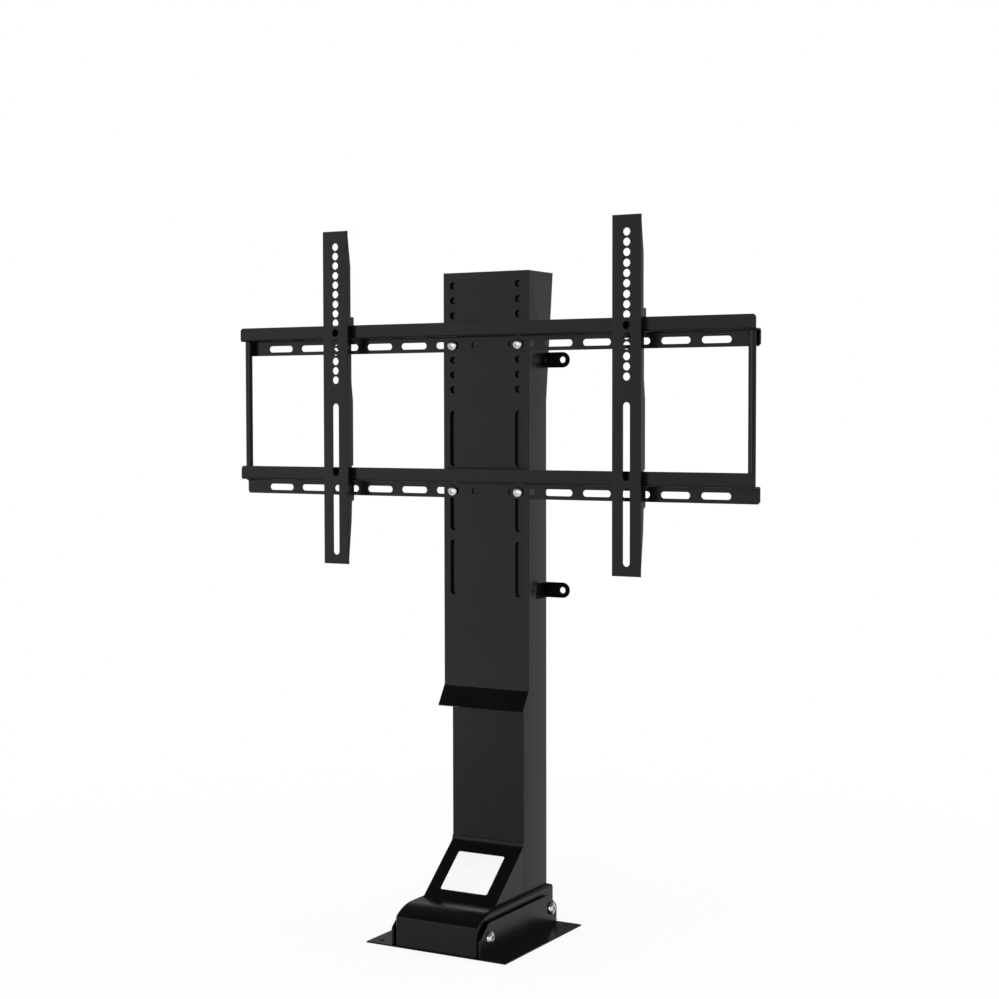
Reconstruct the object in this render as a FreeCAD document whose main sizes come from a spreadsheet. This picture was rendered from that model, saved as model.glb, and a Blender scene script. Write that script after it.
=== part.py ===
"""Motorized television lift: a column that raises a wall-mount style frame with two arms.

Frame: origin on the ground under the middle of the base plate, +Z up, +X to the right seen
from the screen side, -Y towards the viewer of the screen. Millimetres.
"""
import FreeCAD, Part
import math
import os
import re

import Sketcher

doc = FreeCAD.newDocument("motorized_tv_mount")
sizes = doc.addObject("Spreadsheet::Sheet", "Size")

# Driving sizes, one named value each
SIZES = {
    "Base plate": {
        "base_width": 214,
        "base_depth": 215,
        "base_thickness": 2,
        "base_hole_radius": 3.25,
        "base_hole_spread_x": 181,
        "base_hole_spread_y": 188,
    },
    "Ears welded to the base plate": {
        "ear_outer_x": 68.5,
        "ear_thickness": 3,
        "ear_front_inset": 2.2,
        "ear_rear_inset": 0.3,
        "ear_height": 41.6,
        "ear_chamfer_run": 23,
        "ear_chamfer_drop": 18.5,
        "ear_corner_radius": 5,
    },
    "Foot shell": {
        "shell_half_width": 62.8,
        "shell_wall": 2,
        "shell_front_inset": 1.8,
        "shell_rear_inset": 0.8,
        "shell_height": 52.3,
        "shell_nose_drop": 13,
        "shell_nose_run": 38,
        "shell_fold_radius": 5,
        "shell_rim_radius": 4,
        "shell_rest_width": 3.6,
        "column_slip": 0.2,
    },
    "Foot bolts": {
        "foot_bolt_radius": 5,
        "foot_bolt_head_radius": 8.75,
        "foot_bolt_head_height": 5.5,
        "foot_bolt_socket": 6,
        "foot_bolt_front_y": 81,
        "foot_bolt_rear_y": 91,
        "foot_bolt_height": 21.5,
        "foot_nut_width": 16,
        "foot_nut_height": 8.4,
        "foot_spacer_radius": 9,
        "hole_clearance": 0.3,
    },
    "Foot bridge under the column": {
        "bridge_thickness": 4,
        "bridge_height": 48,
        "bridge_leg_lift": 4,
        "bridge_hole_radius": 12,
    },
    "Column": {
        "column_half_width": 56.1,
        "column_front_y": 34.2,
        "column_depth": 66.9,
        "column_wall": 2,
        "column_top": 892,
        "column_corner_radius": 0.8,
        "collar_height": 30,
        "slide_clearance": 0.3,
    },
    "Bearing block, bearing and spindle": {
        "block_height": 20,
        "bearing_outer_radius": 17.5,
        "bearing_height": 10,
        "journal_radius": 8.5,
        "running_clearance": 0.05,
        "spindle_radius": 10,
        "spindle_top": 665,
    },
    "Gearbox and motor": {
        "gearbox_half_width": 28,
        "gearbox_inset": 4,
        "gearbox_height": 40,
        "gearbox_floor": 4,
        "motor_radius": 21,
        "motor_length": 92,
        "motor_cap_length": 10,
        "motor_drop": 1.5,
        "motor_cap_step": 1,
        "gearbox_screw_radius": 3,
        "gearbox_screw_head_radius": 5,
        "gearbox_screw_head_height": 6,
        "gearbox_screw_inset": 7,
        "gearbox_screw_grip": 10,
    },
    "Control cover and label plate": {
        "panel_run": 79.3,
        "panel_rise": 65.6,
        "panel_sheet": 1.2,
        "panel_bend_radius": 10,
        "panel_flange_height": 5,
        "label_width": 72,
        "label_length": 65,
        "label_thickness": 1,
        "label_drop": 54,
        "label_corner_radius": 2.5,
    },
    "Control box and sockets": {
        "box_half_width": 42,
        "box_depth": 30,
        "box_height": 30,
        "box_lift": 2.5,
        "socket_offset_x": 38,
        "socket_height": 24,
        "inlet_width": 16,
        "inlet_height": 11,
        "keypad_width": 12,
        "keypad_height": 10,
        "socket_depth": 20,
        "socket_recess": 12,
        "socket_wall": 1.6,
        "socket_proud": 0.4,
    },
    "Inner tube": {
        "tube_gap": 2,
        "tube_wall": 2,
        "tube_foot": 120,
        "glide_height": 30,
        "nut_block_height": 15,
        "nut_radius": 16,
        "nut_height": 25,
        "nut_flange_radius": 22,
        "nut_flange_height": 5,
        "cap_height": 15,
    },
    "Carriage plate": {
        "carriage_half_width": 66.7,
        "carriage_sheet": 2,
        "carriage_front_y": 29.7,
        "carriage_top": 902.6,
        "lip_bend_z": 334,
        "lip_run": 16.3,
        "lip_fall": 25.8,
        "flange_top_depth": 70.2,
        "flange_foot_depth": 7.9,
        "carriage_hole_x": 51.1,
        "carriage_hole_radius": 5,
        "carriage_hole_pitch": 20.3,
        "carriage_holes_above": 4,
        "carriage_holes": 8,
        "carriage_slot_length": 76,
        "carriage_slot_pitch": 88.6,
        "carriage_slot_start": 89.7,
        "carriage_slots": 3,
        "top_plate_thickness": 4,
        "top_plate_drop": 4,
        "top_plate_rear_gap": 2,
        "top_screw_radius": 3,
        "top_screw_head_radius": 5.25,
        "top_screw_head_height": 3.3,
        "top_screw_socket": 4,
        "top_screw_length": 14,
        "top_screw_inset": 12,
        "glide_strip_width": 20,
        "glide_strip_length": 240,
        "glide_strip_x": 28,
        "glide_strip_z": 348,
    },
    "Rails": {
        "rail_length": 800,
        "rail_sheet": 2,
        "rail_top": 834.2,
        "rail_pitch": 199.5,
        "rail_band_height": 19.4,
        "rail_step": 16.6,
        "rail_drop": 40,
        "rail_corner": 3,
        "rail_bend_radius": 1.3,
        "rail_slot_pitch": 56.7,
        "rail_slots": 13,
        "rail_slot_length": 41.5,
        "rail_slot_width": 9,
        "rail_slot_drop": 30.5,
    },
    "Rail bolts and nuts": {
        "rail_bolt_radius": 4,
        "rail_bolt_head_radius": 7,
        "rail_bolt_head_height": 4.6,
        "rail_bolt_socket": 5,
        "rail_nut_width": 17,
        "rail_nut_height": 2,
    },
    "Tie bars": {
        "tie_bar_radius": 5,
        "tie_bar_inset": 8,
        "tie_screw_radius": 2.5,
        "tie_screw_head_radius": 4.5,
        "tie_screw_head_height": 2.8,
        "tie_screw_socket": 3,
        "tie_screw_length": 16,
    },
    "Arms": {
        "arm_spread": 452.8,
        "arm_width": 41.4,
        "arm_sheet": 2,
        "arm_front_y": 0.4,
        "arm_top": 965.5,
        "arm_length": 466.9,
        "arm_end_straight": 7.5,
        "arm_ramp_length": 42,
        "arm_ramp_foot": 52,
        "arm_flange_depth": 8.3,
        "arm_waist_depth": 9.7,
        "arm_deep_depth": 13.3,
        "arm_deep_start": 80,
        "arm_deep_ramp": 26,
        "arm_deep_clear": 2.3,
        "hook_height": 11.5,
        "hook_leg": 3,
        "hook_leg_drop": 14,
        "hook_clearance": 0.4,
        "catch_gap": 0.8,
        "catch_reach": 4.4,
        "catch_length": 28,
        "arm_hole_radius": 5.25,
        "arm_hole_start": 21.9,
        "arm_hole_pitch": 13.1,
        "arm_group_pitch": 40,
        "arm_groups": 5,
        "arm_group_holes": 3,
        "arm_slot_foot": 12.7,
        "arm_slot_length": 101.85,
        "arm_slot_bridge": 9.5,
        "arm_slot_width": 10.3,
        "arm_corner_radius": 1,
    },
    "Cable clips": {
        "clip_upper_z": 783.3,
        "clip_lower_z": 467.6,
        "clip_width": 21,
        "clip_sheet": 2,
        "clip_leg_start_y": 38,
        "clip_ear_gap": 0.5,
        "clip_hole_x": 87.7,
        "clip_hole_radius": 4.4,
        "clip_upper_screw_y": 80.5,
        "clip_lower_screw_y": 45,
        "clip_screw_radius": 2.5,
        "clip_screw_head_radius": 4,
        "clip_screw_head_height": 1.5,
        "clip_screw_socket": 2.5,
        "clip_screw_length": 5.5,
    },
}

row = 1
for section, entries in SIZES.items():
    sizes.set("A%d" % row, section)
    row += 1
    for alias, number in entries.items():
        sizes.set("A%d" % row, alias)
        sizes.set("B%d" % row, str(number))
        sizes.setAlias("B%d" % row, alias)
        row += 1
doc.recompute()

AXIS_X = FreeCAD.Vector(1, 0, 0)
AXIS_Y = FreeCAD.Vector(0, 1, 0)
AXIS_Z = FreeCAD.Vector(0, 0, 1)
ALIASES = {alias for entries in SIZES.values() for alias in entries}
NODES = []


def cell(text):
    """Writes an expression with each size's name pointing at its cell of the sheet."""
    return re.sub(r"[a-z_]+", lambda word: "Size." + word[0] if word[0] in ALIASES else word[0], text)


def size(alias):
    return float(getattr(sizes, alias))


def worth(text):
    """The present value of an expression of the sizes."""
    return float(sizes.evalExpression(cell(text)))


# Places that several pieces share, as expressions of the sizes
COLUMN_REAR = "(column_front_y + column_depth)"
COLUMN_MIDDLE = "(column_front_y + column_depth / 2)"
SHELL_FRONT = "(-base_depth / 2 + shell_front_inset)"
SHELL_REAR = "(base_depth / 2 - shell_rear_inset)"
SHELL_TOP = "(base_thickness + shell_height)"
BRIDGE_TOP = "(base_thickness + bridge_height)"
BRIDGE_UNDER = "(base_thickness + bridge_height - bridge_thickness)"
BLOCK_TOP = "(base_thickness + bridge_height + block_height)"
PANEL_FRONT = "(column_front_y - panel_run)"
PANEL_TOP = "(base_thickness + shell_height + panel_rise)"
BOLT_Z = "(base_thickness + foot_bolt_height)"
TUBE_HALF = "(column_half_width - column_wall - tube_gap)"
TUBE_FRONT = "(column_front_y + column_wall + tube_gap)"
TUBE_REAR = "(column_front_y + column_depth - column_wall - tube_gap)"
TOP_PLATE_TOP = "(carriage_top - top_plate_drop)"
TUBE_TOP = "(carriage_top - top_plate_drop - top_plate_thickness)"
CARRIAGE_BACK = "(carriage_front_y + carriage_sheet)"
STRIP_FRONT = "(carriage_front_y - rail_sheet)"
BAND_FRONT = "(carriage_front_y - rail_sheet - rail_step)"
SLOT_LINE = "(rail_top - rail_slot_drop)"
LOWER_TOP = "(rail_top - rail_pitch)"
GEARBOX_FRONT = "(column_front_y + gearbox_inset)"
GEARBOX_REAR = "(column_front_y + column_depth - gearbox_inset)"
GEARBOX_FOOT = "(base_thickness + bridge_height - bridge_thickness - gearbox_height)"
MOTOR_Z = "(base_thickness + bridge_height - bridge_thickness - gearbox_height / 2 - motor_drop)"
ARM_FOOT = "(arm_top - arm_length)"
# The clips' ears stand just behind the flange's rear edge, which slopes past the upper clip
FLANGE_SLOPE = "((flange_top_depth - flange_foot_depth) / (carriage_top - lip_bend_z))"
EAR_FRONT = ("(carriage_front_y + flange_foot_depth + clip_ear_gap"
             " + (clip_upper_z + clip_width / 2 - lip_bend_z) * %s)" % FLANGE_SLOPE)
EAR_REAR = "(%s + clip_sheet)" % EAR_FRONT


def node(label, thing):
    """Registers an object as one piece of the assembly under its own name."""
    thing.Label = label
    NODES.append(thing)
    return thing


def new_body(label):
    body = doc.addObject("PartDesign::Body", label)
    body.AllowCompound = True
    return body


def place_part(thing, x="0", y="0", z="0"):
    for axis, text in (("x", x), ("y", y), ("z", z)):
        thing.setExpression("Placement.Base." + axis, cell(text))
    return thing


def new_sketch(body, name, role, offset=None):
    """A sketch on one of the body's own origin planes, moved along its normal by offset."""
    plane = [feature for feature in body.Origin.OriginFeatures if feature.Role == role][0]
    sketch = body.newObject("Sketcher::SketchObject", body.Name + "_" + name)
    sketch.AttachmentSupport = [(plane, "")]
    sketch.MapMode = "FlatFace"
    if offset:
        sketch.setExpression("AttachmentOffset.Base.z", cell(offset))
    return sketch


def fix_point(sketch, edge, end, across=None, up=None):
    """Ties one point of a sketch to expressions for its two coordinates."""
    for kind, text in (("DistanceX", across), ("DistanceY", up)):
        if text is not None:
            number = sketch.addConstraint(Sketcher.Constraint(kind, edge, end, worth(text)))
            label = "%s_%d_%d" % (kind, edge, end)
            sketch.renameConstraint(number, label)
            sketch.setExpression("Constraints." + label, cell(text))


def add_polygon(sketch, points, crown=None):
    """A closed outline whose corners each follow a pair of expressions.

    With crown, a pair of a side's number and its centre's height, that side is an arc that starts at
    its highest point, straight above the centre, and ends at the next corner.
    """
    first = sketch.GeometryCount
    count = len(points)
    spots = [FreeCAD.Vector(worth(across), worth(up), 0) for across, up in points]
    bent, centre_up = crown or (None, None)
    for index in range(count):
        start, end = spots[index], spots[(index + 1) % count]
        side = Part.LineSegment(start, end)
        if index == bent:
            centre = FreeCAD.Vector(start.x, worth(centre_up), 0)
            circle = Part.Circle(centre, AXIS_Z, (start - centre).Length)
            side = Part.ArcOfCircle(circle, math.pi / 2, math.atan2(end.y - centre.y, end.x - centre.x))
        sketch.addGeometry(side, False)
    for index in range(count):
        following = first + (index + 1) % count
        sketch.addConstraint(Sketcher.Constraint("Coincident", first + index, 2, following, 1))
    for index, (across, up) in enumerate(points):
        if index == bent:
            fix_point(sketch, first + index, 3, across, centre_up)
            fix_point(sketch, first + index, 1, across)
        else:
            fix_point(sketch, first + index, 1, across, up)


def add_circle(sketch, across, up, radius):
    middle = FreeCAD.Vector(worth(across), worth(up), 0)
    edge = sketch.addGeometry(Part.Circle(middle, AXIS_Z, worth(radius)), False)
    fix_point(sketch, edge, 3, across, up)
    number = sketch.addConstraint(Sketcher.Constraint("Radius", edge, worth(radius)))
    sketch.renameConstraint(number, "Radius_%d" % edge)
    sketch.setExpression("Constraints.Radius_%d" % edge, cell(radius))


def add_slot(sketch, across, up, length, width, upright=False):
    """A round-ended slot about its centre; upright runs it along the sketch's second axis."""
    run = "(%s - %s) / 2" % (length, width)
    half = "%s / 2" % width

    def spot(along, aside):
        if upright:
            return ("%s - (%s)" % (across, aside), "%s + (%s)" % (up, along))
        return ("%s + (%s)" % (across, along), "%s + (%s)" % (up, aside))

    right_low = spot(run, "-" + half)
    right_high = spot(run, half)
    left_high = spot("-(%s)" % run, half)
    left_low = spot("-(%s)" % run, "-" + half)
    corners = [FreeCAD.Vector(worth(x), worth(y), 0) for x, y in (left_low, right_low, right_high, left_high)]
    bottom = sketch.addGeometry(Part.LineSegment(corners[0], corners[1]), False)
    top = sketch.addGeometry(Part.LineSegment(corners[2], corners[3]), False)
    turn = math.pi / 2 if upright else 0
    ends = []
    for low, high, start in ((corners[1], corners[2], turn - math.pi / 2),
                             (corners[0], corners[3], turn + math.pi / 2)):
        circle = Part.Circle((low + high) * 0.5, AXIS_Z, worth(half))
        ends.append(sketch.addGeometry(Part.ArcOfCircle(circle, start, start + math.pi), False))
    fix_point(sketch, bottom, 1, *left_low)
    fix_point(sketch, bottom, 2, *right_low)
    fix_point(sketch, top, 1, *right_high)
    fix_point(sketch, top, 2, *left_high)
    sketch.addConstraint(Sketcher.Constraint("Coincident", ends[0], 1, bottom, 2))
    sketch.addConstraint(Sketcher.Constraint("Coincident", ends[0], 2, top, 1))
    sketch.addConstraint(Sketcher.Constraint("Coincident", ends[1], 1, top, 2))
    sketch.addConstraint(Sketcher.Constraint("Coincident", ends[1], 2, bottom, 1))
    for arc, along in ((ends[0], run), (ends[1], "-(%s)" % run)):
        if upright:
            fix_point(sketch, arc, 3, up="%s + (%s)" % (up, along))
        else:
            fix_point(sketch, arc, 3, across="%s + (%s)" % (across, along))


def pad(body, sketch, length, symmetric=False, backwards=False):
    feature = body.newObject("PartDesign::Pad", sketch.Name + "_pad")
    feature.Profile = sketch
    feature.setExpression("Length", cell(length))
    if symmetric:
        feature.SideType = "Symmetric"
    feature.Reversed = backwards
    return feature


def pocket(body, sketch, length=None, symmetric=False, backwards=False):
    """Cuts a sketch out of the body: all the way through both ways unless a length is given."""
    feature = body.newObject("PartDesign::Pocket", sketch.Name + "_pocket")
    feature.Profile = sketch
    if length:
        feature.setExpression("Length", cell(length))
        feature.Reversed = backwards
        if symmetric:
            feature.SideType = "Symmetric"
    else:
        feature.Type = "ThroughAll"
        feature.SideType = "Symmetric"
    return feature


def repeat(body, original, sketch, axis, pitch, count, backwards=False):
    """A row of copies of one feature along an axis of its sketch."""
    pattern = body.newObject("PartDesign::LinearPattern", original.Name + "_row")
    pattern.Originals = [original]
    pattern.Direction = (sketch, [axis])
    pattern.Mode = "Spacing"
    pattern.setExpression("Offset", cell(pitch))
    pattern.setExpression("Occurrences", cell(count))
    pattern.Reversed = backwards
    body.Tip = pattern
    return pattern


def mirror(body, originals, role):
    plane = [feature for feature in body.Origin.OriginFeatures if feature.Role == role][0]
    feature = body.newObject("PartDesign::Mirrored", originals[-1].Name + "_mirror")
    feature.Originals = originals
    feature.MirrorPlane = (plane, [""])
    body.Tip = feature
    return feature


def round_edges(body, radius, chosen):
    """Fillets the edges of the body's present shape that the test chooses."""
    doc.recompute()
    names = ["Edge%d" % (index + 1) for index, edge in enumerate(body.Shape.Edges) if chosen(edge)]
    if not names:
        raise ValueError("no edge to round on " + body.Name)
    feature = body.newObject("PartDesign::Fillet", body.Name + "_round_%d" % len(body.Group))
    feature.Base = (body.Group[-2], names)
    feature.setExpression("Radius", cell(radius))
    return feature


def runs_along(edge, axis):
    """True where a straight edge runs along X, Y or Z (axis 0, 1 or 2)."""
    if edge.Curve.TypeId != "Part::GeomLine":
        return False
    direction = edge.Curve.Direction
    return abs(direction[axis]) > 0.999


def near(value, target):
    return abs(value - target) < 0.01


def make_box(label, low, high):
    """A block between two corners given as expressions."""
    box = doc.addObject("Part::Box", label)
    for side, (first, last) in zip(("Length", "Width", "Height"), zip(low, high)):
        box.setExpression(side, cell("(%s) - (%s)" % (last, first)))
    return place_part(box, *low)


def make_cylinder(label, radius, height, x="0", y="0", z="0"):
    cylinder = doc.addObject("Part::Cylinder", label)
    cylinder.setExpression("Radius", cell(radius))
    cylinder.setExpression("Height", cell(height))
    return place_part(cylinder, x, y, z)


def turn_part(thing, axis, angle):
    thing.Placement.Rotation = FreeCAD.Rotation(axis, angle)
    return thing


def cut(label, base, *tools):
    """Cuts each tool out of the base in turn."""
    for index, tool in enumerate(tools):
        step = doc.addObject("Part::Cut", "%s_cut_%d" % (label, index))
        step.Base = base
        step.Tool = tool
        base = step
    return base


def fuse(label, *things):
    joined = doc.addObject("Part::MultiFuse", label + "_fused")
    joined.Shapes = list(things)
    joined.Refine = True
    return joined


# Turns that point a fastener's head, made along +Z, the way it faces
FACING = {
    "up": FreeCAD.Rotation(),
    "down": FreeCAD.Rotation(AXIS_X, 180),
    "front": FreeCAD.Rotation(AXIS_X, 90),
    "right": FreeCAD.Rotation(AXIS_Y, 90),
    "left": FreeCAD.Rotation(AXIS_Y, -90),
}


def button_screw(label, head_radius, head_height, shank_radius, shank_length, socket):
    """A domed screw along Z: its head above the ground plane, its shank below."""
    blank = make_cylinder(label + "_blank", head_radius, head_height)
    dome = doc.addObject("Part::Sphere", label + "_dome")
    ball = "((%s * %s + %s * %s) / (2 * %s) * 1.25)" % (
        head_radius, head_radius, head_height, head_height, head_height)
    dome.setExpression("Radius", cell(ball))
    place_part(dome, z="%s - %s" % (head_height, ball))
    head = doc.addObject("Part::Common", label + "_head")
    head.Base = blank
    head.Tool = dome
    key = doc.addObject("Part::Prism", label + "_key")
    key.Polygon = 6
    key.setExpression("Circumradius", cell("%s / sqrt(3)" % socket))
    key.setExpression("Height", cell(head_height))
    place_part(key, z="%s * 0.4" % head_height)
    shank = make_cylinder(label + "_shank", shank_radius, shank_length, z="-(%s)" % shank_length)
    return fuse(label, cut(label, head, key), shank)


def hex_nut(label, width, height, bore):
    """A six-sided nut along Z with its seat on the ground plane."""
    blank = doc.addObject("Part::Prism", label + "_blank")
    blank.Polygon = 6
    blank.setExpression("Circumradius", cell("%s / sqrt(3)" % width))
    blank.setExpression("Height", cell(height))
    hole = make_cylinder(label + "_hole", bore, "3 * %s" % height, z="-(%s)" % height)
    return cut(label, blank, hole)


def group(label, master, places):
    """Copies of one fastener as a single node of separate solids."""
    links = []
    for index, (x, y, z, facing) in enumerate(places):
        link = doc.addObject("App::Link", "%s_%d" % (label, index + 1))
        link.LinkedObject = master
        link.Placement.Rotation = FACING[facing]
        links.append(place_part(link, x, y, z))
    compound = doc.addObject("Part::Compound", label)
    compound.Links = links
    return node(label, compound)


# Base plate: a square steel sheet with a screw hole near each corner
def base_plate():
    body = new_body("base_plate")
    outline = new_sketch(body, "outline", "XY_Plane")
    half_x = "base_width / 2"
    half_y = "base_depth / 2"
    add_polygon(outline, [
        ("-" + half_x, "-" + half_y), (half_x, "-" + half_y), (half_x, half_y), ("-" + half_x, half_y)])
    pad(body, outline, "base_thickness")
    holes = new_sketch(body, "holes", "XY_Plane")
    for side in ("-", ""):
        for end in ("-", ""):
            add_circle(holes, side + "base_hole_spread_x / 2", end + "base_hole_spread_y / 2",
                       "base_hole_radius")
    pocket(body, holes)
    return node("base_plate", body)


# Ears: upright side plates welded to the base plate that carry the foot on four bolts
def ear(label, side):
    body = new_body(label)
    front = "(-base_depth / 2 + ear_front_inset)"
    rear = "(base_depth / 2 - ear_rear_inset)"
    top = "(base_thickness + ear_height)"
    outline = new_sketch(body, "outline", "YZ_Plane",
                         "%s(ear_outer_x - ear_thickness / 2)" % side)
    add_polygon(outline, [
        (front, "base_thickness"), (rear, "base_thickness"), (rear, top + " - ear_chamfer_drop"),
        (rear + " - ear_chamfer_run", top), (front + " + ear_chamfer_run", top),
        (front, top + " - ear_chamfer_drop")])
    pad(body, outline, "ear_thickness", symmetric=True)
    foot = size("base_thickness")
    round_edges(body, "ear_corner_radius",
                lambda edge: runs_along(edge, 0) and edge.CenterOfMass.z > foot + 1)
    holes = new_sketch(body, "holes", "YZ_Plane")
    for y in ("-foot_bolt_front_y", "foot_bolt_rear_y"):
        add_circle(holes, y, BOLT_Z, "foot_bolt_radius + hole_clearance")
    pocket(body, holes)
    return node(label, body)


# Foot shell: a pressed cover with a swept nose, open where the column and the panel stand
def foot_shell():
    body = new_body("foot_shell")
    nose_z = "(%s - shell_nose_drop)" % SHELL_TOP
    sweep = "((shell_nose_run * shell_nose_run + shell_nose_drop * shell_nose_drop) / (2 * shell_nose_drop))"
    centre_z = "(%s - %s)" % (SHELL_TOP, sweep)
    outline = new_sketch(body, "outline", "YZ_Plane")
    add_polygon(outline, [
        (SHELL_FRONT, "base_thickness"), (SHELL_REAR, "base_thickness"), (SHELL_REAR, SHELL_TOP),
        (SHELL_FRONT + " + shell_nose_run", SHELL_TOP), (SHELL_FRONT, nose_z)], crown=(3, centre_z))
    pad(body, outline, "2 * shell_half_width", symmetric=True)
    front_y = -size("base_depth") / 2 + size("shell_front_inset")
    top_z = size("base_thickness") + size("shell_height")
    low_z = size("base_thickness")
    round_edges(body, "shell_fold_radius", lambda edge: runs_along(edge, 0)
                and near(edge.CenterOfMass.y, front_y) and edge.CenterOfMass.z > low_z + 1)
    rear_y = size("base_depth") / 2 - size("shell_rear_inset")
    half = size("shell_half_width")

    def on_the_rim(edge):
        middle = edge.CenterOfMass
        on_side = near(abs(middle.x), half)
        along_top = middle.z > low_z + 1 and not near(middle.y, front_y) and not near(middle.y, rear_y)
        across_rear = near(middle.x, 0) and near(middle.y, rear_y) and near(middle.z, top_z)
        return (on_side and along_top) or across_rear

    round_edges(body, "shell_rim_radius", on_the_rim)
    hollow = new_sketch(body, "hollow", "YZ_Plane")
    inner = "(%s - shell_wall)" % sweep
    reach = "(shell_nose_run - shell_wall)"
    inner_nose = "%s + sqrt(%s * %s - %s * %s)" % (centre_z, inner, inner, reach, reach)
    add_polygon(hollow, [
        (SHELL_FRONT + " + shell_wall", "0"), (SHELL_REAR + " - shell_wall", "0"),
        (SHELL_REAR + " - shell_wall", SHELL_TOP + " - shell_wall"),
        (SHELL_FRONT + " + shell_nose_run", SHELL_TOP + " - shell_wall"),
        (SHELL_FRONT + " + shell_wall", inner_nose)], crown=(3, centre_z))
    pocket(body, hollow, "2 * (shell_half_width - shell_wall)", symmetric=True)
    opening = new_sketch(body, "opening", "XY_Plane", SHELL_TOP)
    narrow = "(column_half_width - shell_rest_width)"
    wide = "(column_half_width + column_slip)"
    front = PANEL_FRONT + " + shell_rest_width * 2"
    step = "column_front_y - column_slip"
    rear = COLUMN_REAR + " + column_slip"
    add_polygon(opening, [
        ("-" + narrow, front), (narrow, front), (narrow, step), (wide, step), (wide, rear),
        ("-" + wide, rear), ("-" + wide, step), ("-" + narrow, step)])
    pocket(body, opening, "2 * shell_wall")
    bolt_holes = new_sketch(body, "bolt_holes", "YZ_Plane")
    for y in ("-foot_bolt_front_y", "foot_bolt_rear_y"):
        add_circle(bolt_holes, y, BOLT_Z, "foot_bolt_radius + hole_clearance")
    pocket(body, bolt_holes)
    sockets = new_sketch(body, "sockets", "XZ_Plane", "-" + SHELL_REAR)
    for middle, width, height in (("socket_offset_x", "inlet_width", "inlet_height"),
                                  ("-socket_offset_x", "keypad_width", "keypad_height")):
        across = "(%s / 2)" % width
        up = "(%s / 2)" % height
        level = "(base_thickness + socket_height)"
        add_polygon(sockets, [
            (middle + " - " + across, level + " - " + up), (middle + " + " + across, level + " - " + up),
            (middle + " + " + across, level + " + " + up), (middle + " - " + across, level + " + " + up)])
    pocket(body, sockets, "2 * shell_wall", backwards=True, symmetric=True)
    return node("foot_shell", body)


# Foot bolts: domed bolts from outside each ear, spacers in the gap, nuts inside the shell
def foot_fasteners():
    outer = "ear_outer_x"
    inner_front = "(shell_half_width - shell_wall)"
    inner_rear = "(shell_half_width - shell_wall - bridge_thickness)"
    grip = "(ear_outer_x - shell_half_width + shell_wall + bridge_thickness + foot_nut_height)"
    bolt = button_screw("foot_bolt", "foot_bolt_head_radius", "foot_bolt_head_height",
                        "foot_bolt_radius", grip, "foot_bolt_socket")
    nut = hex_nut("foot_nut", "foot_nut_width", "foot_nut_height", "foot_bolt_radius")
    ring = "(ear_outer_x - ear_thickness - shell_half_width)"
    disc = make_cylinder("foot_spacer_disc", "foot_spacer_radius", ring)
    bore = make_cylinder("foot_spacer_bore", "foot_bolt_radius + hole_clearance", "3 * " + ring,
                         z="-" + ring)
    spacer = cut("foot_spacer", disc, bore)
    ends = (("-foot_bolt_front_y", inner_front), ("foot_bolt_rear_y", inner_rear))
    group("base_bolts", bolt, [
        (side + outer, y, BOLT_Z, facing)
        for side, facing in (("-", "left"), ("", "right")) for y, inner in ends])
    group("base_nuts", nut, [
        (side + inner, y, BOLT_Z, facing)
        for side, facing in (("-", "right"), ("", "left")) for y, inner in ends])
    group("base_spacers", spacer, [
        (side + "shell_half_width", y, BOLT_Z, facing)
        for side, facing in (("-", "left"), ("", "right")) for y, inner in ends])


# Foot bridge: a folded steel saddle inside the shell that the column stands on
def foot_bridge():
    body = new_body("foot_bridge")
    outer = "(shell_half_width - shell_wall)"
    inner = "(shell_half_width - shell_wall - bridge_thickness)"
    foot = "base_thickness + bridge_leg_lift"
    outline = new_sketch(body, "outline", "XZ_Plane", "-" + COLUMN_MIDDLE)
    add_polygon(outline, [
        ("-" + outer, foot), ("-" + inner, foot), ("-" + inner, BRIDGE_UNDER), (inner, BRIDGE_UNDER),
        (inner, foot), (outer, foot), (outer, BRIDGE_TOP), ("-" + outer, BRIDGE_TOP)])
    pad(body, outline, "column_depth", symmetric=True)
    bolt_holes = new_sketch(body, "bolt_holes", "YZ_Plane")
    add_circle(bolt_holes, "foot_bolt_rear_y", BOLT_Z, "foot_bolt_radius + hole_clearance")
    pocket(body, bolt_holes)
    top_holes = new_sketch(body, "top_holes", "XY_Plane")
    add_circle(top_holes, "0", COLUMN_MIDDLE, "bridge_hole_radius")
    for x, y in gearbox_screw_places():
        add_circle(top_holes, x, y, "gearbox_screw_radius + hole_clearance")
    pocket(body, top_holes)
    return node("foot_bridge", body)


def gearbox_screw_places():
    across = "(gearbox_half_width - gearbox_screw_inset)"
    front = GEARBOX_FRONT + " + gearbox_screw_inset"
    rear = GEARBOX_REAR + " - gearbox_screw_inset"
    return [(side + across, y) for side in ("-", "") for y in (front, rear)]


def make_ring(label, half_width, front, rear, wall, foot, height, outer_radius=None):
    """An upright rectangular tube; half width, front and rear are those of its outside."""
    body = new_body(label)
    outline = new_sketch(body, "outline", "XY_Plane", foot)
    add_polygon(outline, [
        ("-" + half_width, front), (half_width, front), (half_width, rear), ("-" + half_width, rear)])
    inside = half_width + " - " + wall
    add_polygon(outline, [
        ("-(%s)" % inside, front + " + " + wall), (inside, front + " + " + wall),
        (inside, rear + " - " + wall), ("-(%s)" % inside, rear + " - " + wall)])
    pad(body, outline, height)
    if outer_radius:
        doc.recompute()
        reach = body.Shape.BoundBox.XMax
        round_edges(body, outer_radius,
                    lambda edge: runs_along(edge, 2) and near(abs(edge.CenterOfMass.x), reach))
    return node(label, body)


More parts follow.
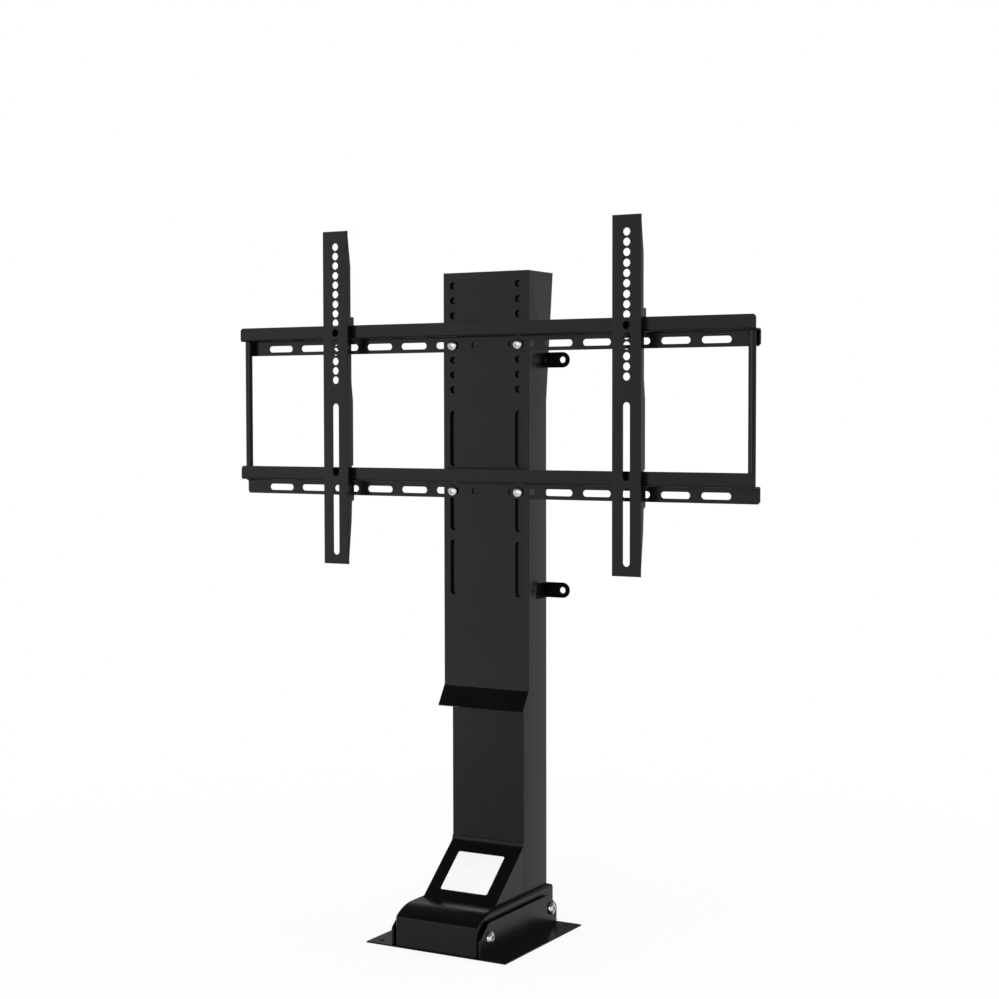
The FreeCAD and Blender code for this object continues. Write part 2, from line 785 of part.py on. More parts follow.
# Column: the fixed rectangular steel tube and its plastic guide collar at the top
def column():
    make_ring("outer_column", "column_half_width", "column_front_y", COLUMN_REAR, "column_wall",
              BRIDGE_TOP, "column_top - " + BRIDGE_TOP, "column_corner_radius")
    make_ring("column_collar", "(column_half_width - column_wall)", "(column_front_y + column_wall)",
              "(column_front_y + column_depth - column_wall)", "(tube_gap - slide_clearance)",
              "column_top - collar_height", "collar_height")


# Bearing block: a cast block in the column's foot that holds the spindle's ball bearing
def bearing_block():
    body = new_body("bearing_block")
    half = "(column_half_width - column_wall)"
    front = "(column_front_y + column_wall)"
    rear = "(column_front_y + column_depth - column_wall)"
    outline = new_sketch(body, "outline", "XY_Plane", BRIDGE_TOP)
    add_polygon(outline, [("-" + half, front), (half, front), (half, rear), ("-" + half, rear)])
    pad(body, outline, "block_height")
    bore = new_sketch(body, "bore", "XY_Plane", BRIDGE_TOP)
    add_circle(bore, "0", COLUMN_MIDDLE, "bridge_hole_radius")
    pocket(body, bore)
    seat = new_sketch(body, "seat", "XY_Plane", BLOCK_TOP)
    add_circle(seat, "0", COLUMN_MIDDLE, "bearing_outer_radius")
    pocket(body, seat, "bearing_height")
    taps = new_sketch(body, "taps", "XY_Plane", BRIDGE_TOP)
    for x, y in gearbox_screw_places():
        add_circle(taps, x, y, "gearbox_screw_radius")
    pocket(body, taps, "gearbox_screw_grip", backwards=True)
    node("bearing_block", body)
    race = make_cylinder("bearing_race", "bearing_outer_radius", "bearing_height", "0", COLUMN_MIDDLE,
                         BLOCK_TOP + " - bearing_height")
    hole = make_cylinder("bearing_hole", "journal_radius + running_clearance", "3 * bearing_height",
                         "0", COLUMN_MIDDLE, BLOCK_TOP + " - 2 * bearing_height")
    node("spindle_bearing", cut("spindle_bearing", race, hole))


# Gearbox and motor: a worm gearbox under the bridge with the motor lying forward from it
def gear_motor():
    case = make_box("gearbox_case", ("-gearbox_half_width", GEARBOX_FRONT, GEARBOX_FOOT),
                    ("gearbox_half_width", GEARBOX_REAR, BRIDGE_UNDER))
    well = make_cylinder("gearbox_well", "journal_radius + running_clearance", "gearbox_height",
                         "0", COLUMN_MIDDLE, GEARBOX_FOOT + " + gearbox_floor")
    tools = [well]
    for index, (x, y) in enumerate(gearbox_screw_places()):
        tools.append(make_cylinder("gearbox_hole_%d" % index, "gearbox_screw_radius + hole_clearance",
                                   "3 * gearbox_height", x, y, GEARBOX_FOOT + " - gearbox_height"))
        tools.append(make_cylinder("gearbox_recess_%d" % index,
                                   "gearbox_screw_head_radius + hole_clearance",
                                   "2 * gearbox_screw_head_height", x, y,
                                   GEARBOX_FOOT + " - gearbox_screw_head_height"))
    node("gearbox", cut("gearbox", case, *tools))
    can = make_cylinder("motor_can", "motor_radius", "motor_length", "0", GEARBOX_FRONT, MOTOR_Z)
    node("motor", turn_part(can, AXIS_X, 90))
    end = make_cylinder("motor_end_cap", "motor_radius - motor_cap_step", "motor_cap_length", "0",
                        GEARBOX_FRONT + " - motor_length", MOTOR_Z)
    node("motor_end_cap", turn_part(end, AXIS_X, 90))
    head = make_cylinder("gearbox_screw_head", "gearbox_screw_head_radius", "gearbox_screw_head_height")
    reach = "(gearbox_height - gearbox_screw_head_height + bridge_thickness + gearbox_screw_grip)"
    shank = make_cylinder("gearbox_screw_shank", "gearbox_screw_radius", reach, z="-" + reach)
    screw = fuse("gearbox_screw", head, shank)
    group("gearbox_screws", screw, [
        (x, y, GEARBOX_FOOT + " + gearbox_screw_head_height", "down")
        for x, y in gearbox_screw_places()])


# Spindle: the rotating screw up the middle of the column, with a thinner journal in its bearing
def spindle():
    body = new_body("spindle")
    foot = GEARBOX_FOOT + " + gearbox_floor"
    outline = new_sketch(body, "outline", "XZ_Plane")
    add_polygon(outline, [
        ("0", foot), ("journal_radius", foot), ("journal_radius", BLOCK_TOP),
        ("spindle_radius", BLOCK_TOP), ("spindle_radius", "spindle_top"), ("0", "spindle_top")])
    turned = body.newObject("PartDesign::Revolution", "spindle_turned")
    turned.Profile = outline
    turned.ReferenceAxis = (outline, ["V_Axis"])
    place_part(body, y=COLUMN_MIDDLE)
    node("spindle", body)


# Control cover: a sloping panel between two cheeks, bent up into a flange on the column's front
def control_cover():
    body = new_body("control_cover")
    flange_front = "(column_front_y - panel_sheet)"
    flange_top = "(%s + panel_flange_height)" % PANEL_TOP
    outline = new_sketch(body, "outline", "YZ_Plane")
    add_polygon(outline, [
        (PANEL_FRONT, SHELL_TOP), ("column_front_y", SHELL_TOP), ("column_front_y", flange_top),
        (flange_front, flange_top), (flange_front, PANEL_TOP + " - panel_sheet * panel_rise / panel_run")])
    pad(body, outline, "2 * column_half_width", symmetric=True)
    front_y = size("column_front_y") - size("panel_sheet")
    bend_z = worth(PANEL_TOP)
    round_edges(body, "panel_bend_radius", lambda edge: runs_along(edge, 0)
                and near(edge.CenterOfMass.y, front_y) and edge.CenterOfMass.z < bend_z)
    hollow = new_sketch(body, "hollow", "YZ_Plane")
    thick = "panel_sheet * sqrt(panel_run * panel_run + panel_rise * panel_rise)"
    back = "%s / panel_rise" % thick
    under = "%s / panel_run" % thick
    add_polygon(hollow, [
        (PANEL_FRONT + " + " + back, SHELL_TOP), ("column_front_y", SHELL_TOP),
        ("column_front_y", PANEL_TOP + " - " + under)])
    pocket(body, hollow, "2 * (column_half_width - panel_sheet)", symmetric=True)
    node("control_cover", body)
    plate = make_box("label_blank", ("-label_width / 2", "-label_length / 2", "0"),
                     ("label_width / 2", "label_length / 2", "label_thickness"))
    rounded = doc.addObject("Part::Fillet", "label_plate")
    rounded.Base = plate
    doc.recompute()
    radius = size("label_corner_radius")
    rounded.Edges = [(index + 1, radius, radius) for index, edge in enumerate(plate.Shape.Edges)
                     if runs_along(edge, 2)]
    slope = "atan2(panel_rise; panel_run)"
    along = "(sqrt(panel_run * panel_run + panel_rise * panel_rise) - label_drop)"
    rounded.Placement.Rotation = FreeCAD.Rotation(AXIS_X, 1)
    rounded.setExpression("Placement.Rotation.Angle", cell(slope))
    place_part(rounded, "0", PANEL_FRONT + " + %s * cos(%s)" % (along, slope),
               SHELL_TOP + " + %s * sin(%s)" % (along, slope))
    node("label_plate", rounded)


# Control electronics: a closed box behind the panel, and two sockets in the foot's rear wall
def electronics():
    foot = SHELL_TOP + " + box_lift"
    box = make_box("control_box", ("-box_half_width", "column_front_y - box_depth", foot),
                   ("box_half_width", "column_front_y", foot + " + box_height"))
    node("control_box", box)
    rear = SHELL_REAR + " + socket_proud"
    for label, middle, width, height in (
            ("power_inlet", "socket_offset_x", "inlet_width", "inlet_height"),
            ("keypad_socket", "-socket_offset_x", "keypad_width", "keypad_height")):
        level = "(base_thickness + socket_height)"
        across = "%s / 2" % width
        up = "%s / 2" % height
        block = make_box(label + "_block",
                         (middle + " - " + across, rear + " - socket_depth", level + " - " + up),
                         (middle + " + " + across, rear, level + " + " + up))
        mouth = make_box(label + "_mouth",
                         (middle + " - " + across + " + socket_wall", rear + " - socket_recess",
                          level + " - " + up + " + socket_wall"),
                         (middle + " + " + across + " - socket_wall", rear + " + socket_recess",
                          level + " + " + up + " - socket_wall"))
        node(label, cut(label, block, mouth))


# Inner tube: the moving tube with its glide ring, nut block, bronze nut and top cap
def inner_tube():
    make_ring("inner_tube", TUBE_HALF, TUBE_FRONT, TUBE_REAR, "tube_wall", "tube_foot",
              TUBE_TOP + " - tube_foot", "tube_wall")
    pad_wall = "(tube_gap - slide_clearance)"
    make_ring("tube_glide_ring", "(%s + %s)" % (TUBE_HALF, pad_wall), "(%s - %s)" % (TUBE_FRONT, pad_wall),
              "(%s + %s)" % (TUBE_REAR, pad_wall), pad_wall, "tube_foot", "glide_height")
    half = "(%s - tube_wall)" % TUBE_HALF
    front = "%s + tube_wall" % TUBE_FRONT
    rear = "%s - tube_wall" % TUBE_REAR
    block = make_box("nut_block_blank", ("-" + half, front, "tube_foot"),
                     (half, rear, "tube_foot + nut_block_height"))
    seat = make_cylinder("nut_block_seat", "nut_radius", "3 * nut_block_height", "0", COLUMN_MIDDLE,
                         "tube_foot - nut_block_height")
    node("nut_block", cut("nut_block", block, seat))
    barrel = make_cylinder("nut_barrel", "nut_radius", "nut_height", "0", COLUMN_MIDDLE, "tube_foot")
    flange = make_cylinder("nut_flange", "nut_flange_radius", "nut_flange_height", "0", COLUMN_MIDDLE,
                           "tube_foot + nut_block_height")
    thread = make_cylinder("nut_thread", "spindle_radius + running_clearance", "3 * nut_height", "0",
                           COLUMN_MIDDLE, "tube_foot - nut_height")
    node("spindle_nut", cut("spindle_nut", fuse("nut_solid", barrel, flange), thread))
    cap = make_box("tube_cap_blank", ("-" + half, front, TUBE_TOP + " - cap_height"),
                   (half, rear, TUBE_TOP))
    taps = [make_cylinder("tube_cap_tap_%d" % index, "top_screw_radius", "3 * cap_height", x, y,
                          TUBE_TOP + " - 2 * cap_height")
            for index, (x, y) in enumerate(top_screw_places())]
    node("tube_cap", cut("tube_cap", cap, *taps))


def top_screw_places():
    across = "(%s - tube_wall - top_screw_inset)" % TUBE_HALF
    front = "%s + tube_wall + top_screw_inset" % TUBE_FRONT
    rear = "%s - tube_wall - top_screw_inset" % TUBE_REAR
    return [(side + across, y) for side in ("-", "") for y in (front, rear)]


# Carriage plate: a long folded sheet with tapering side flanges, a lip, holes and slots
def carriage_plate():
    body = new_body("carriage_plate")
    sheet = new_sketch(body, "sheet", "YZ_Plane")
    front = "carriage_front_y"
    slant = "sqrt(lip_run * lip_run + lip_fall * lip_fall)"
    over = "(carriage_sheet * lip_fall / %s)" % slant
    under = "(carriage_sheet * lip_run / %s)" % slant
    lip_y = "(carriage_front_y - lip_run)"
    lip_z = "(lip_bend_z - lip_fall)"
    add_polygon(sheet, [
        (front, "carriage_top"), (front, "lip_bend_z"), (lip_y, lip_z),
        (lip_y + " + " + over, lip_z + " - " + under), (CARRIAGE_BACK, "lip_bend_z - " + under),
        (CARRIAGE_BACK, "carriage_top")])
    pad(body, sheet, "2 * carriage_half_width", symmetric=True)
    flange = new_sketch(body, "flange", "YZ_Plane", "carriage_half_width - carriage_sheet / 2")
    add_polygon(flange, [
        (front, "carriage_top"), (front, "lip_bend_z"), (front + " + flange_foot_depth", "lip_bend_z"),
        (front + " + flange_top_depth", "carriage_top")])
    side = pad(body, flange, "carriage_sheet", symmetric=True)
    mirror(body, [side], "YZ_Plane")
    first_hole = SLOT_LINE + " + carriage_holes_above * carriage_hole_pitch"
    for name, x in (("left", "-carriage_hole_x"), ("right", "carriage_hole_x")):
        hole = new_sketch(body, "hole_" + name, "XZ_Plane", "-carriage_front_y")
        add_circle(hole, x, first_hole, "carriage_hole_radius")
        repeat(body, pocket(body, hole), hole, "V_Axis", "carriage_hole_pitch", "carriage_holes", True)
        slot = new_sketch(body, "slot_" + name, "XZ_Plane", "-carriage_front_y")
        first_slot = SLOT_LINE + " - carriage_slot_start - carriage_slot_length / 2"
        add_slot(slot, x, first_slot, "carriage_slot_length", "(2 * carriage_hole_radius)", upright=True)
        repeat(body, pocket(body, slot), slot, "V_Axis", "carriage_slot_pitch", "carriage_slots", True)
    edge_x = size("carriage_half_width")
    edge_y = size("carriage_front_y")
    round_edges(body, "carriage_sheet * 0.75", lambda edge: runs_along(edge, 2)
                and near(abs(edge.CenterOfMass.x), edge_x) and near(edge.CenterOfMass.y, edge_y))
    clip_holes = new_sketch(body, "clip_holes", "YZ_Plane", "carriage_half_width")
    for y, z in clip_places():
        add_circle(clip_holes, y, z, "clip_screw_radius + hole_clearance")
    pocket(body, clip_holes, "2 * carriage_sheet", backwards=False, symmetric=True)
    return node("carriage_plate", body)


def clip_places():
    return [("clip_upper_screw_y", "clip_upper_z"), ("clip_lower_screw_y", "clip_lower_z")]


# Top plate: welded between the carriage's flanges and screwed down on the inner tube
def top_plate():
    inside = "(carriage_half_width - carriage_sheet)"
    blank = make_box("top_plate_blank", ("-" + inside, CARRIAGE_BACK, TUBE_TOP),
                     (inside, "carriage_front_y + flange_top_depth - top_plate_rear_gap", TOP_PLATE_TOP))
    holes = [make_cylinder("top_plate_hole_%d" % index, "top_screw_radius + hole_clearance",
                           "3 * top_plate_thickness", x, y, TUBE_TOP + " - top_plate_thickness")
             for index, (x, y) in enumerate(top_screw_places())]
    node("top_plate", cut("top_plate", blank, *holes))
    screw = button_screw("top_screw", "top_screw_head_radius", "top_screw_head_height",
                         "top_screw_radius", "top_screw_length", "top_screw_socket")
    group("top_screws", screw, [(x, y, TOP_PLATE_TOP, "up") for x, y in top_screw_places()])
    thickness = "(column_front_y - carriage_front_y - carriage_sheet - slide_clearance)"
    strips = []
    for name, x in (("left", "-glide_strip_x"), ("right", "glide_strip_x")):
        strips.append(make_box("glide_strip_" + name,
                               (x + " - glide_strip_width / 2", CARRIAGE_BACK, "glide_strip_z"),
                               (x + " + glide_strip_width / 2", CARRIAGE_BACK + " + " + thickness,
                                "glide_strip_z + glide_strip_length")))
    compound = doc.addObject("Part::Compound", "plate_glides")
    compound.Links = strips
    node("plate_glides", compound)


# Rails: two stepped steel rails, each a band in front and a slotted strip on the carriage
def rail(label, top):
    body = new_body(label)
    band = BAND_FRONT
    shelf = "(%s - rail_band_height)" % top
    foot = "(%s - rail_drop)" % top
    profile = new_sketch(body, "profile", "YZ_Plane")
    add_polygon(profile, [
        (band, top), (band, shelf), (STRIP_FRONT, shelf), (STRIP_FRONT, foot),
        ("carriage_front_y", foot), ("carriage_front_y", shelf + " + rail_sheet"),
        (band + " + rail_sheet", shelf + " + rail_sheet"), (band + " + rail_sheet", top)])
    pad(body, profile, "rail_length", symmetric=True)
    over = shelf + " + rail_sheet"
    inner = [(worth(band + " + rail_sheet"), worth(over)), (worth(STRIP_FRONT), worth(shelf))]
    outer = [(worth(band), worth(shelf)), (worth("carriage_front_y"), worth(over))]
    for radius, spots in (("rail_bend_radius", inner), ("rail_bend_radius + rail_sheet", outer)):
        round_edges(body, radius, lambda edge: runs_along(edge, 0) and any(
            near(edge.CenterOfMass.y, y) and near(edge.CenterOfMass.z, z) for y, z in spots))
    corners = new_sketch(body, "corners", "XZ_Plane")
    end = "(rail_length / 2)"
    for side in ("-", ""):
        add_polygon(corners, [
            (side + end, top), (side + "(%s - rail_corner)" % end, top),
            (side + end, top + " - rail_corner")])
        add_polygon(corners, [
            (side + end, foot), (side + end, foot + " + rail_corner"),
            (side + "(%s - rail_corner)" % end, foot)])
    pocket(body, corners)
    slot = new_sketch(body, "slot", "XZ_Plane")
    add_slot(slot, "-(rail_slots - 1) / 2 * rail_slot_pitch", "%s - rail_slot_drop" % top,
             "rail_slot_length", "rail_slot_width")
    repeat(body, pocket(body, slot), slot, "H_Axis", "rail_slot_pitch", "rail_slots")
    holes = new_sketch(body, "tie_holes", "XY_Plane", shelf)
    for side in ("-", ""):
        add_circle(holes, side + tie_bar_x(), TIE_BAR_Y, "tie_screw_radius + hole_clearance")
    pocket(body, holes, "3 * rail_sheet", symmetric=True)
    return node(label, body)


TIE_BAR_Y = "((%s + rail_sheet + %s) / 2)" % (BAND_FRONT, STRIP_FRONT)


def tie_bar_x():
    return "(rail_length / 2 - tie_bar_inset)"


# Rail bolts: domed bolts through the strips' slots into flat nuts behind the carriage plate
def rail_fasteners():
    bolt = button_screw("rail_bolt", "rail_bolt_head_radius", "rail_bolt_head_height", "rail_bolt_radius",
                        "(rail_sheet + carriage_sheet + rail_nut_height)", "rail_bolt_socket")
    levels = (SLOT_LINE, SLOT_LINE + " - rail_pitch")
    sides = ("-", "")
    group("rail_bolts", bolt, [
        (side + "carriage_hole_x", STRIP_FRONT, z, "front") for z in levels for side in sides])
    half = "rail_nut_width / 2"
    blank = make_box("rail_nut_blank", ("-" + half, "-" + half, "-rail_nut_height"), (half, half, "0"))
    hole = make_cylinder("rail_nut_hole", "rail_bolt_radius", "3 * rail_nut_height", z="-2 * rail_nut_height")
    nut = cut("rail_nut", blank, hole)
    group("rail_nuts", nut, [
        (side + "carriage_hole_x", CARRIAGE_BACK, z, "front") for z in levels for side in sides])


# Tie bars: round bars that join the rails' ends, screwed through both shelves
def tie_bars():
    upper = "(rail_top - rail_band_height)"
    lower = "(%s - rail_band_height + rail_sheet)" % LOWER_TOP
    for label, side in (("tie_bar_left", "-"), ("tie_bar_right", "")):
        blank = make_cylinder(label + "_blank", "tie_bar_radius", "%s - %s" % (upper, lower),
                              side + tie_bar_x(), TIE_BAR_Y, lower)
        taps = [make_cylinder("%s_tap_%s" % (label, end), "tie_screw_radius", "2 * tie_screw_length",
                              side + tie_bar_x(), TIE_BAR_Y, z + " - tie_screw_length")
                for end, z in (("upper", upper), ("lower", lower))]
        node(label, cut(label, blank, *taps))
    screw = button_screw("tie_screw", "tie_screw_head_radius", "tie_screw_head_height", "tie_screw_radius",
                         "tie_screw_length", "tie_screw_socket")
    group("tie_bar_screws", screw, [
        (side + tie_bar_x(), TIE_BAR_Y, z, facing)
        for side in ("-", "")
        for z, facing in ((upper + " + rail_sheet", "up"), (lower + " - rail_sheet", "down"))])


# Cable clips: folded tabs on the inside of the right flange, each with a hole for a cable tie
def cable_clips():
    for label, level, screw_y in (("cable_clip_upper", "clip_upper_z", "clip_upper_screw_y"),
                                  ("cable_clip_lower", "clip_lower_z", "clip_lower_screw_y")):
        body = new_body(label)
        outer = "(carriage_half_width - carriage_sheet)"
        inner = "(carriage_half_width - carriage_sheet - clip_sheet)"
        leg = new_sketch(body, "leg", "XY_Plane", "%s - clip_width / 2" % level)
        add_polygon(leg, [
            (inner, "clip_leg_start_y"), (outer, "clip_leg_start_y"), (outer, EAR_REAR),
            (inner, EAR_REAR)])
        pad(body, leg, "clip_width")
        tab = new_sketch(body, "tab", "XZ_Plane", "-" + EAR_REAR)
        add_slot(tab, "(%s + clip_hole_x) / 2" % inner, level,
                 "(clip_hole_x - %s + clip_width)" % inner, "clip_width")
        pad(body, tab, "clip_sheet")
        trim = new_sketch(body, "trim", "XZ_Plane")
        add_polygon(trim, [
            ("0", level + " - clip_width"), (inner, level + " - clip_width"),
            (inner, level + " + clip_width"), ("0", level + " + clip_width")])
        pocket(body, trim)
        hole = new_sketch(body, "hole", "XZ_Plane")
        add_circle(hole, "clip_hole_x", level, "clip_hole_radius")
        pocket(body, hole)
        tap = new_sketch(body, "tap", "YZ_Plane")
        add_circle(tap, screw_y, level, "clip_screw_radius")
        pocket(body, tap)
        node(label, body)
    screw = button_screw("clip_screw", "clip_screw_head_radius", "clip_screw_head_height",
                         "clip_screw_radius", "clip_screw_length", "clip_screw_socket")
    group("clip_screws", screw, [("carriage_half_width", y, z, "right") for y, z in clip_places()])


# Arms: two slotted channels that hook over the upper rail and catch under the lower one
def arm(label, side):
    body = new_body(label)
    half = "(arm_width / 2)"
    front = "arm_front_y"
    back = "(arm_front_y + arm_sheet)"
    foot = ARM_FOOT
    face = new_sketch(body, "face", "XZ_Plane", "-arm_front_y")
    add_polygon(face, [("-" + half, foot), (half, foot), (half, "arm_top"), ("-" + half, "arm_top")])
    pad(body, face, "arm_sheet", backwards=True)
    shallow = "(arm_front_y + arm_flange_depth)"
    waist = "(arm_front_y + arm_waist_depth)"
    deep = "(arm_front_y + arm_deep_depth)"
    band_back = "(%s + rail_sheet + hook_clearance)" % BAND_FRONT
    seat = "(rail_top + hook_clearance)"
    under = "(%s - rail_band_height - catch_gap)" % LOWER_TOP
    catch_y = "(%s + rail_sheet + catch_reach / 2)" % BAND_FRONT
    high = "(arm_top - arm_end_straight)"
    low = "(%s + arm_end_straight + catch_gap)" % foot
    flange = new_sketch(body, "flange", "YZ_Plane", "%s - arm_sheet / 2" % half)
    add_polygon(flange, [
        (front, foot), (back, foot), (back, low), (shallow, low + " + arm_ramp_foot"),
        (waist, under + " - catch_length"), (catch_y, under + " - catch_length + catch_reach / 2"),
        (catch_y, under), (waist, under), (waist, LOWER_TOP + " + arm_deep_clear"),
        (deep, LOWER_TOP + " + arm_deep_clear"), (deep, "rail_top - arm_deep_start - arm_deep_ramp"),
        (waist, "rail_top - arm_deep_start"), (waist, seat), (band_back, seat),
        (band_back, "rail_top - hook_leg_drop"), (band_back + " + hook_leg", "rail_top - hook_leg_drop"),
        (band_back + " + hook_leg", "rail_top + hook_height"), (shallow, "rail_top + hook_height"),
        (shallow, high + " - arm_ramp_length"), (back, high), (back, "arm_top"), (front, "arm_top")])
    wing = pad(body, flange, "arm_sheet", symmetric=True)
    mirror(body, [wing], "YZ_Plane")
    for number in range(int(size("arm_group_holes"))):
        hole = new_sketch(body, "hole_%d" % number, "XZ_Plane")
        add_circle(hole, "0", "arm_top - arm_hole_start - %d * arm_hole_pitch" % number, "arm_hole_radius")
        repeat(body, pocket(body, hole), hole, "V_Axis", "arm_group_pitch", "arm_groups", True)
    for name, rise in (("lower", "0"), ("upper", "(arm_slot_length + arm_slot_bridge)")):
        slot = new_sketch(body, "slot_" + name, "XZ_Plane")
        add_slot(slot, "0", foot + " + arm_slot_foot + arm_slot_length / 2 + " + rise, "arm_slot_length",
                 "arm_slot_width", upright=True)
        pocket(body, slot)
    face_x = size("arm_width") / 2
    face_y = size("arm_front_y")
    round_edges(body, "arm_corner_radius", lambda edge: runs_along(edge, 2)
                and near(abs(edge.CenterOfMass.x), face_x) and near(edge.CenterOfMass.y, face_y))
    place_part(body, x=side + "arm_spread / 2")
    return node(label, body)


base_plate()
ear("side_bracket_left", "-")
ear("side_bracket_right", "")
foot_shell()
foot_fasteners()
foot_bridge()
column()
bearing_block()
gear_motor()
spindle()
control_cover()
electronics()
inner_tube()
carriage_plate()
top_plate()
rail("rail_upper", "rail_top")
rail("rail_lower", LOWER_TOP)
rail_fasteners()
tie_bars()
cable_clips()
arm("arm_left", "-")
arm("arm_right", "")

doc.recompute()
for thing in doc.Objects:
    if "Invalid" in thing.State or "Error" in thing.State:
        raise ValueError("%s failed: %s" % (thing.Label, thing.State))
os.makedirs("parts", exist_ok=True)
for piece in NODES:
    shape = piece.Shape
    if shape.isNull() or not shape.isValid() or not shape.Solids:
        raise ValueError("%s has no valid solid" % piece.Label)
    print("%-20s %2d solid %12.1f mm3" % (piece.Label, len(shape.Solids), shape.Volume))
for piece in NODES:
    piece.Shape.exportStep("parts/%s.step" % piece.Label)
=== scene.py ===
"""Motorized television lift, dressed for its picture: black powder-coated sheet steel on bright screws."""
import bmesh
import bpy
import numpy as np
from math import pi, radians
from mathutils import Matrix, Vector


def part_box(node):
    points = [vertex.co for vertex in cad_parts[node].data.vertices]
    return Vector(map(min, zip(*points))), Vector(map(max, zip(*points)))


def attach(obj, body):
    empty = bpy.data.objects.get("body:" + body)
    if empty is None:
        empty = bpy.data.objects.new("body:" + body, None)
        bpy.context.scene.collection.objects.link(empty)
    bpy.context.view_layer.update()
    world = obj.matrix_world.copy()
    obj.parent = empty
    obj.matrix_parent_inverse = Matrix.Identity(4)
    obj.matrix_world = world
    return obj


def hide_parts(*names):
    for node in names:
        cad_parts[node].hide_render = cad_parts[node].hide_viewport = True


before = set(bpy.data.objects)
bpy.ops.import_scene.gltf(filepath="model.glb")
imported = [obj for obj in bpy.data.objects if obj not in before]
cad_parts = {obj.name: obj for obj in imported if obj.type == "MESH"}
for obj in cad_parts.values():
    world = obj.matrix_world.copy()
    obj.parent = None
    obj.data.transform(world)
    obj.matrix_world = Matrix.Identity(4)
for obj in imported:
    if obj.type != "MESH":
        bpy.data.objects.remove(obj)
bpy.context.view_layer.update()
scene = bpy.context.scene
scene.view_settings.view_transform = "Standard"

# Camera
# A moderate telephoto at table height, a few steps in front of the lift and to its right, that looks
# very slightly down.
camera = bpy.data.objects.new("camera", bpy.data.cameras.new("camera"))
scene.collection.objects.link(camera)
camera.data.lens = 68.37
camera.data.sensor_width = 36
camera.data.clip_end = 50
camera.location = (1.2897, -2.2142, 0.7094)
pan, tilt, roll = radians(29.468), radians(87.421), radians(-0.0964)
aim = Matrix.Rotation(pan, 3, "Z") @ Matrix.Rotation(tilt, 3, "X") @ Matrix.Rotation(roll, 3, "Z")
camera.rotation_euler = aim.to_euler()
scene.camera = camera


# Base plate
# A square of 2 mm sheet steel, laser cut with a screw hole near each corner. Every sheet part of the
# lift is powder coated semi-gloss black: a baked paint with a fine orange peel.
def start_finish(name):
    """A new material with its node tree, its shader and the coordinates that it is painted by."""
    material = bpy.data.materials.new(name)
    material.use_nodes = True
    tree = material.node_tree
    shader = tree.nodes["Principled BSDF"]
    place = tree.nodes.new("ShaderNodeTexCoord").outputs["Object"]
    return material, tree, shader, place


def feed(tree, source, socket):
    """Gives an input its source, which is another node's output or a plain value."""
    if isinstance(source, bpy.types.NodeSocket):
        tree.links.new(source, socket)
    else:
        socket.default_value = source


def ramp(tree, values, start, end, low, high, course="LINEAR"):
    """Carries the values from start to end onto the range from low to high, and holds them beyond it."""
    span = tree.nodes.new("ShaderNodeMapRange")
    span.interpolation_type = course
    feed(tree, values, span.inputs["Value"])
    feed(tree, start, span.inputs["From Min"])
    feed(tree, end, span.inputs["From Max"])
    feed(tree, low, span.inputs["To Min"])
    feed(tree, high, span.inputs["To Max"])
    return span.outputs["Result"]


def clouds(tree, place, scale, detail, stretch=(1, 1, 1)):
    """Soft random values over the piece; along each axis, stretch packs them that much closer."""
    spread = tree.nodes.new("ShaderNodeMapping")
    spread.inputs["Scale"].default_value = stretch
    tree.links.new(place, spread.inputs["Vector"])
    noise = tree.nodes.new("ShaderNodeTexNoise")
    noise.inputs["Scale"].default_value = scale
    noise.inputs["Detail"].default_value = detail
    tree.links.new(spread.outputs["Vector"], noise.inputs["Vector"])
    return noise.outputs["Fac"]


def spread_values(tree, values, low, high):
    """Carries the middle part of the clouds' values onto the range from low to high."""
    cloud_low, cloud_high = 0.32, 0.68
    return ramp(tree, values, cloud_low, cloud_high, low, high)


def drift_colour(tree, shader, values, first, second):
    """Lets the colour drift between two tones with the values."""
    blend = tree.nodes.new("ShaderNodeMix")
    blend.data_type = "RGBA"
    blend.inputs["A"].default_value = (*first, 1)
    blend.inputs["B"].default_value = (*second, 1)
    tree.links.new(spread_values(tree, values, 0, 1), blend.inputs["Factor"])
    tree.links.new(blend.outputs["Result"], shader.inputs["Base Color"])


def raise_grain(tree, values, depth, below):
    """Lifts the surface by the values times depth, in metres, over an earlier grain if there is one."""
    bump = tree.nodes.new("ShaderNodeBump")
    bump.inputs["Distance"].default_value = depth
    tree.links.new(values, bump.inputs["Height"])
    if below is not None:
        tree.links.new(below, bump.inputs["Normal"])
    return bump.outputs["Normal"]


def mottled_finish(name, tones, drift, roughness, gloss, grains, metallic=0.0, specular=0.5):
    """A finish whose tone and roughness drift softly between two values each, under one grain or more.

    drift and gloss are the clouds that tone and roughness follow: a scale, a detail and perhaps a
    stretch. Each grain is a depth in metres and its clouds, and lies over the grain before it.
    """
    material, tree, shader, place = start_finish(name)
    drift_colour(tree, shader, clouds(tree, place, *drift), *tones)
    tree.links.new(spread_values(tree, clouds(tree, place, *gloss), *roughness), shader.inputs["Roughness"])
    shader.inputs["Metallic"].default_value = metallic
    shader.inputs["Specular IOR Level"].default_value = specular
    surface = None
    for depth, *grain in grains:
        surface = raise_grain(tree, clouds(tree, place, *grain), depth, surface)
    tree.links.new(surface, shader.inputs["Normal"])
    return material


def powder_finish(name, specular):
    """Black powder coat, which two sizes of wave ripple."""
    return mottled_finish(name, tones=((0.0015, 0.0015, 0.0016), (0.0025, 0.0025, 0.0026)), drift=(7, 3),
                          roughness=(0.23, 0.28), gloss=(28, 2),
                          grains=[(0.00002, 160, 1), (0.00002, 700, 2)], specular=specular)


powder_coat = powder_finish("black_powder_coat", specular=0.22)
base_coat = powder_finish("black_powder_coat_of_the_base", specular=0.13)


